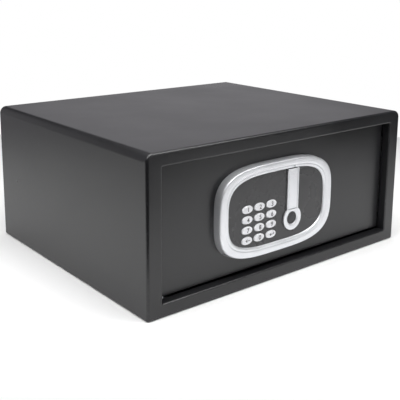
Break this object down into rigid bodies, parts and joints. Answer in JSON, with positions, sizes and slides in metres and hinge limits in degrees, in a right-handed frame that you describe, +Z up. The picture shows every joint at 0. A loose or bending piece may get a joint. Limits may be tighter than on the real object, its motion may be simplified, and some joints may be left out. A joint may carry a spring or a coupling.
{
  "type": "in-room laptop safe",
  "caption": "Flat steel in-room safe with a recessed hinged door, keypad unit in an oval silver bezel, motor-driven locking bolts and a hidden override lock.",
  "frame": {"origin": "middle of the underside, on the surface that the safe stands on", "axes": "+X to the right of someone facing the door, -Y out of the door's face, +Z up"},
  "size_m": [0.45, 0.376, 0.196],
  "materials": {
    "body_paint": "satin powder coat, charcoal black",
    "inner_paint": "satin powder coat, charcoal black",
    "zinc_steel": "zinc plated",
    "bright_steel": "bright plated",
    "bolt_chrome": "polished chrome plate",
    "bronze": "machined",
    "carpet": "short needle-felt pile",
    "silver_plastic": "satin silver paint on moulded plastic",
    "smoked_plastic": "smoked, semi-gloss",
    "lens_plastic": "dark gloss lens",
    "key_plastic": "pearl white, soft gloss",
    "key_rubber": "silicone rubber",
    "circuit_board": "green solder mask",
    "black_plastic": "fine spark-eroded texture",
    "cell_wrap": "printed sleeve, plain",
    "motor_case": "drawn steel can"
  },
  "bodies": {
    "cabinet": {"outer_shell": "body_paint", "base_plate": "body_paint", "front_frame": "body_paint", "back_panel": "body_paint", "floor_mat": "carpet", "bolt_strike": "zinc_steel", "hinge_bracket_lower": "zinc_steel", "hinge_bracket_upper": "zinc_steel", "hinge_pin_lower": "bright_steel", "hinge_pin_upper": "bright_steel"},
    "door": {"door_plate": "body_paint", "door_tray": "inner_paint", "tray_screws": "bright_steel", "hinge_arm_lower": "zinc_steel", "hinge_arm_upper": "zinc_steel", "hinge_bushes": "bronze", "bolt_guide": "zinc_steel", "guide_posts": "bright_steel", "gear_motor": "motor_case", "control_board": "circuit_board", "battery_box": "black_plastic", "batteries": "cell_wrap", "battery_contacts": "bright_steel", "bezel": "silver_plastic", "bezel_screws": "bright_steel", "fascia": "smoked_plastic", "strip_frame": "silver_plastic", "ring_lens": "lens_plastic", "flap_pin": "bright_steel", "keypad_mat": "key_rubber", "keypad_board": "circuit_board", "display_module": "black_plastic", "lock_body": "bright_steel", "lock_nut": "bright_steel"},
    "bolt_works": {"bolt_upper": "bolt_chrome", "bolt_lower": "bolt_chrome", "bolt_carrier": "zinc_steel", "bolt_nuts": "bright_steel"},
    "pinion": {"drive_pinion": "bronze"},
    "flap": {"key_flap": "silver_plastic"},
    "plug": {"lock_plug": "bronze", "lock_cam": "zinc_steel"},
    "hatch": {"battery_cover": "black_plastic"},
    "key_1_cap": {"key_1": "key_plastic"},
    "key_2_cap": {"key_2": "key_plastic"},
    "key_3_cap": {"key_3": "key_plastic"},
    "key_4_cap": {"key_4": "key_plastic"},
    "key_5_cap": {"key_5": "key_plastic"},
    "key_6_cap": {"key_6": "key_plastic"},
    "key_7_cap": {"key_7": "key_plastic"},
    "key_8_cap": {"key_8": "key_plastic"},
    "key_9_cap": {"key_9": "key_plastic"},
    "key_clear_cap": {"key_clear": "key_plastic"},
    "key_0_cap": {"key_0": "key_plastic"},
    "key_enter_cap": {"key_enter": "key_plastic"}
  },
  "joints": [
    {"name": "door_hinge", "type": "hinge", "parent": "cabinet", "child": "door", "pos_m": [-0.191, -0.164, 0.098], "axis": [0, 0, -1], "range_deg": [0, 90]},
    {"name": "bolt_throw", "type": "slide", "parent": "door", "child": "bolt_works", "axis": [1, 0, 0], "range_m": [0, 0.018]},
    {"name": "pinion_turn", "type": "hinge", "parent": "door", "child": "pinion", "pos_m": [0.105, -0.154, 0.084], "axis": [0, 1, 0], "range_deg": [0, 129]},
    {"name": "flap_hinge", "type": "hinge", "parent": "door", "child": "flap", "pos_m": [0.0076, -0.1851, 0.0895], "axis": [1, 0, 0], "range_deg": [0, 95]},
    {"name": "plug_turn", "type": "hinge", "parent": "door", "child": "plug", "pos_m": [0.0076, -0.184, 0.1195], "axis": [0, 1, 0], "range_deg": [0, 90]},
    {"name": "hatch_slide", "type": "slide", "parent": "door", "child": "hatch", "axis": [-1, 0, 0], "range_m": [0, 0.012]},
    {"name": "key_1_press", "type": "slide", "parent": "door", "child": "key_1_cap", "axis": [0, 1, 0], "range_m": [0, 0.001], "stiffness_N_per_m": 900},
    {"name": "key_2_press", "type": "slide", "parent": "door", "child": "key_2_cap", "axis": [0, 1, 0], "range_m": [0, 0.001], "stiffness_N_per_m": 900},
    {"name": "key_3_press", "type": "slide", "parent": "door", "child": "key_3_cap", "axis": [0, 1, 0], "range_m": [0, 0.001], "stiffness_N_per_m": 900},
    {"name": "key_4_press", "type": "slide", "parent": "door", "child": "key_4_cap", "axis": [0, 1, 0], "range_m": [0, 0.001], "stiffness_N_per_m": 900},
    {"name": "key_5_press", "type": "slide", "parent": "door", "child": "key_5_cap", "axis": [0, 1, 0], "range_m": [0, 0.001], "stiffness_N_per_m": 900},
    {"name": "key_6_press", "type": "slide", "parent": "door", "child": "key_6_cap", "axis": [0, 1, 0], "range_m": [0, 0.001], "stiffness_N_per_m": 900},
    {"name": "key_7_press", "type": "slide", "parent": "door", "child": "key_7_cap", "axis": [0, 1, 0], "range_m": [0, 0.001], "stiffness_N_per_m": 900},
    {"name": "key_8_press", "type": "slide", "parent": "door", "child": "key_8_cap", "axis": [0, 1, 0], "range_m": [0, 0.001], "stiffness_N_per_m": 900},
    {"name": "key_9_press", "type": "slide", "parent": "door", "child": "key_9_cap", "axis": [0, 1, 0], "range_m": [0, 0.001], "stiffness_N_per_m": 900},
    {"name": "key_clear_press", "type": "slide", "parent": "door", "child": "key_clear_cap", "axis": [0, 1, 0], "range_m": [0, 0.001], "stiffness_N_per_m": 900},
    {"name": "key_0_press", "type": "slide", "parent": "door", "child": "key_0_cap", "axis": [0, 1, 0], "range_m": [0, 0.001], "stiffness_N_per_m": 900},
    {"name": "key_enter_press", "type": "slide", "parent": "door", "child": "key_enter_cap", "axis": [0, 1, 0], "range_m": [0, 0.001], "stiffness_N_per_m": 900}
  ],
  "couplings": [
    {"joint": "pinion_turn", "follows": "bolt_throw", "rad_per_m": 125}
  ]
}
